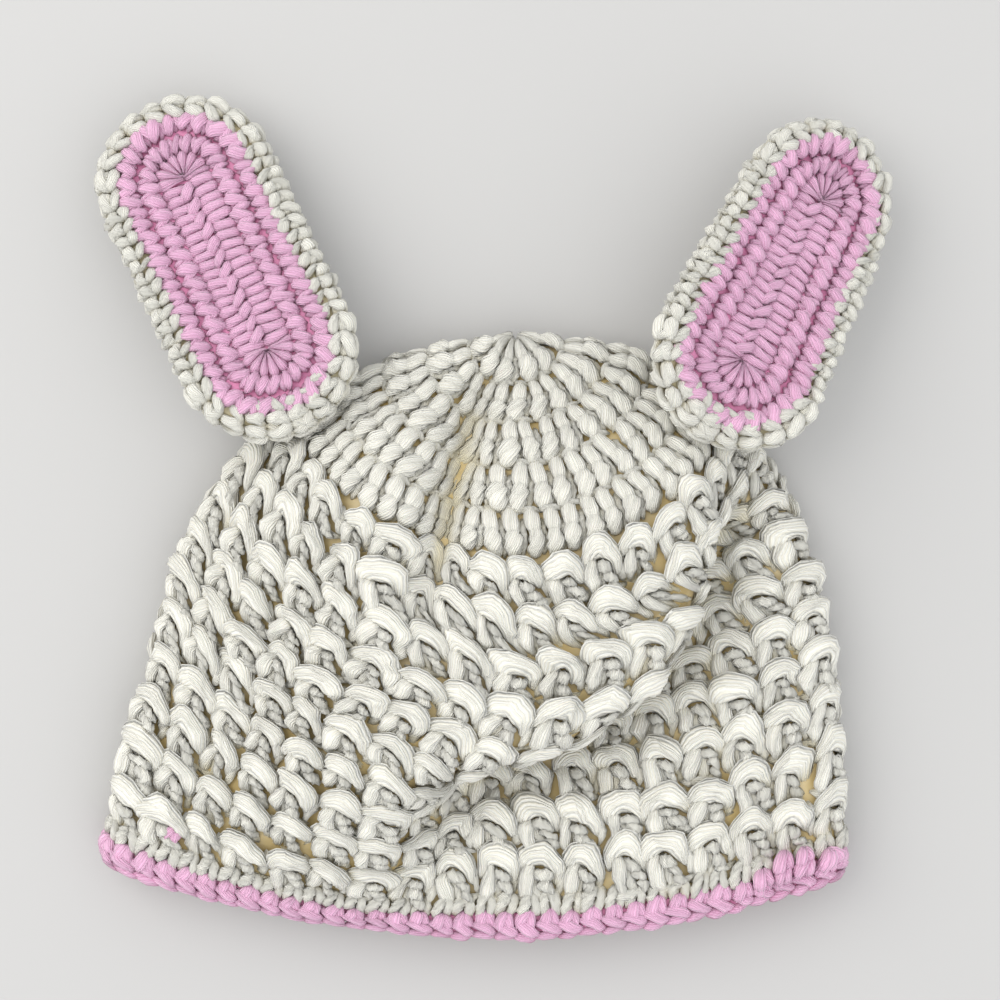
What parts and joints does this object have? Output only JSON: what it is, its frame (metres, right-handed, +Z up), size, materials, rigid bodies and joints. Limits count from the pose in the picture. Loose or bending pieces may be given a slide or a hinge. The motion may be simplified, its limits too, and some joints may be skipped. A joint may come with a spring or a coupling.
{
  "type": "baby hat with ears",
  "caption": "Crocheted baby beanie with two upright rabbit ears and a contrast edging, lying on its back with its slack crown folded forward.",
  "frame": {"origin": "centre of the bounding box's bottom, on the surface that the hat lies on", "axes": "+X across the hat to its right as seen from above, +Y from the open rim towards the crown and ears, +Z up out of the surface and through the front layer"},
  "size_m": [0.2, 0.2108, 0.0383],
  "materials": {
    "cream_yarn": "matte crocheted cotton yarn with a slight sheen",
    "pink_yarn": "matte crocheted cotton yarn with a slight sheen"
  },
  "bodies": {
    "root": {"hat_body": "cream_yarn", "brim_edging": "pink_yarn", "ear_left_outer": "cream_yarn", "ear_left_inner": "pink_yarn", "ear_right_outer": "cream_yarn", "ear_right_inner": "pink_yarn"}
  },
  "joints": []
}
